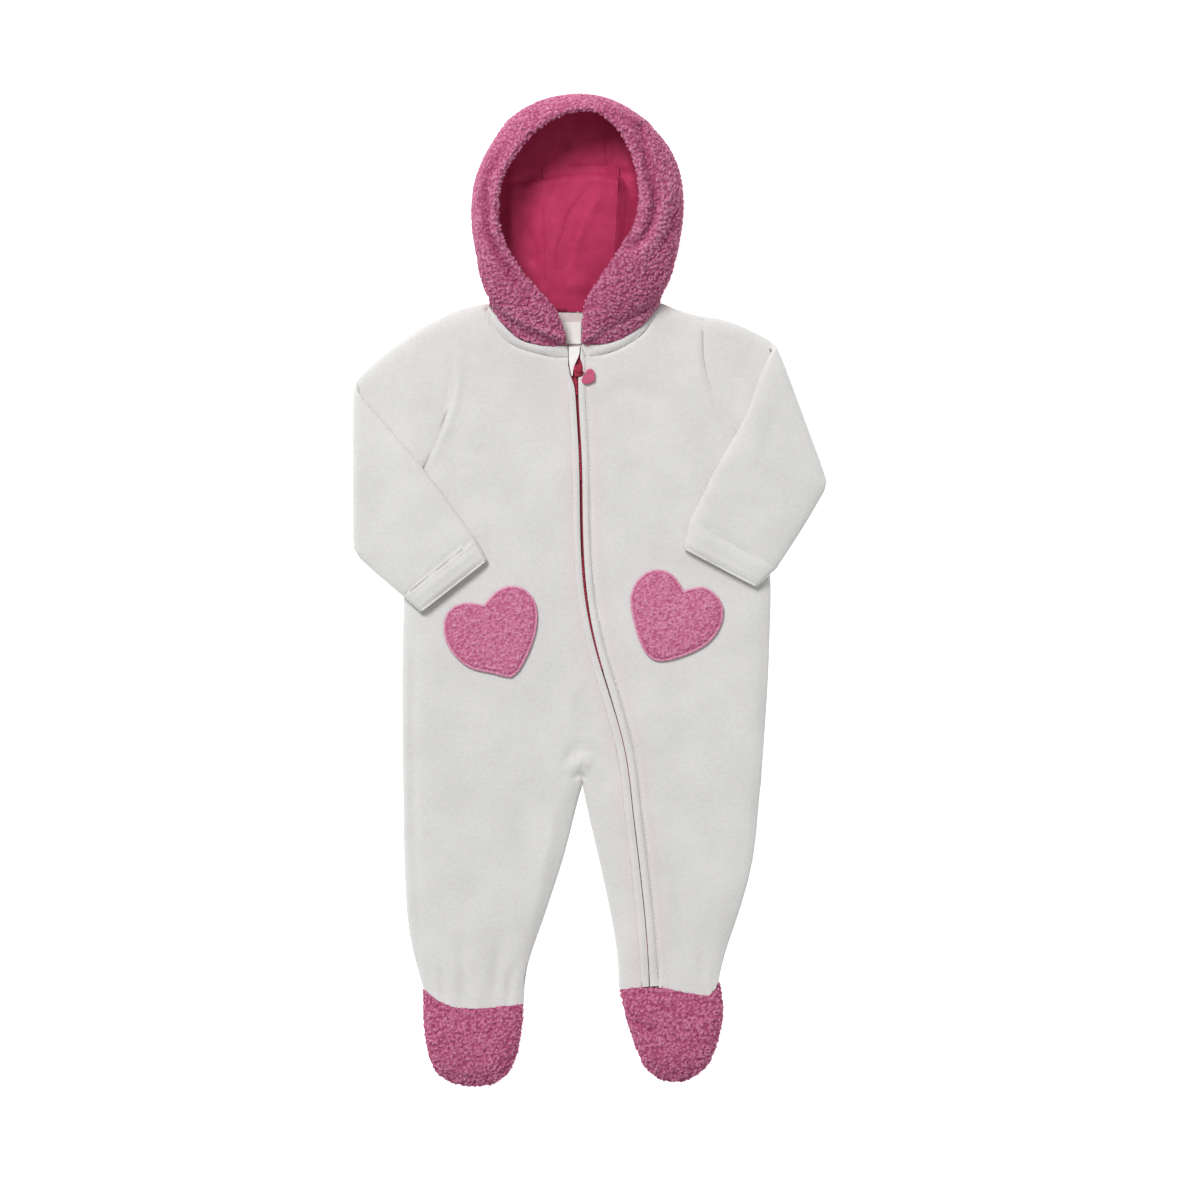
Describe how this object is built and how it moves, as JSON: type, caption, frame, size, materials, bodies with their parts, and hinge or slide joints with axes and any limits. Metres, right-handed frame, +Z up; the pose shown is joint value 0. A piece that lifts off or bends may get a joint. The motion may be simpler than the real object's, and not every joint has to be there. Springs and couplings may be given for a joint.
{
  "type": "footed baby sleepsuit",
  "caption": "Hooded, footed fleece sleepsuit laid flat with its sleeves folded over the front, an open lined hood, a curved zip to one ankle, a heart pull and heart patches",
  "frame": {"origin": "centre of the suit's outline on the surface it lies on", "axes": "+X to the wearer's left, +Y from the feet to the hood, +Z up, away from the surface"},
  "size_m": [0.3601, 0.755, 0.0535],
  "materials": {
    "velour": "cream velour",
    "sherpa": "pink boucle fleece",
    "jersey_lining": "deep pink knit",
    "jersey_facing": "cream knit",
    "zip_tape": "woven tape",
    "white_tape": "satin tape",
    "painted_zip": "gloss lacquer",
    "painted_heart": "gloss lacquer"
  },
  "bodies": {
    "garment": {"back_right": "velour", "back_left": "velour", "front_right": "velour", "front_left": "velour", "sleeve_right": "velour", "sleeve_left": "velour", "cuff_right": "velour", "cuff_left": "velour", "neck_band_right": "velour", "neck_band_left": "velour", "zip_welt_right": "velour", "zip_welt_left": "velour", "foot_top_right": "sherpa", "foot_top_left": "sherpa", "foot_sole_right": "sherpa", "foot_sole_left": "sherpa", "hood_right": "sherpa", "hood_centre": "sherpa", "hood_left": "sherpa", "heart_patch_right": "sherpa", "heart_patch_left": "sherpa", "lining_right": "jersey_lining", "lining_centre": "jersey_lining", "lining_left": "jersey_lining", "neck_facing": "jersey_facing", "zip_tape_right": "zip_tape", "zip_tape_left": "zip_tape", "label": "white_tape", "zip_guard": "white_tape", "zip_slider": "painted_zip"},
    "pull": {"pull_link": "painted_zip", "pull_heart": "painted_heart"}
  },
  "joints": [
    {"name": "pull_hinge", "type": "hinge", "parent": "garment", "child": "pull", "pos_m": [-0.0097, 0.1673, 0.01053], "axis": [-0.5151, -0.8571, 0], "range_deg": [0, 140]}
  ]
}
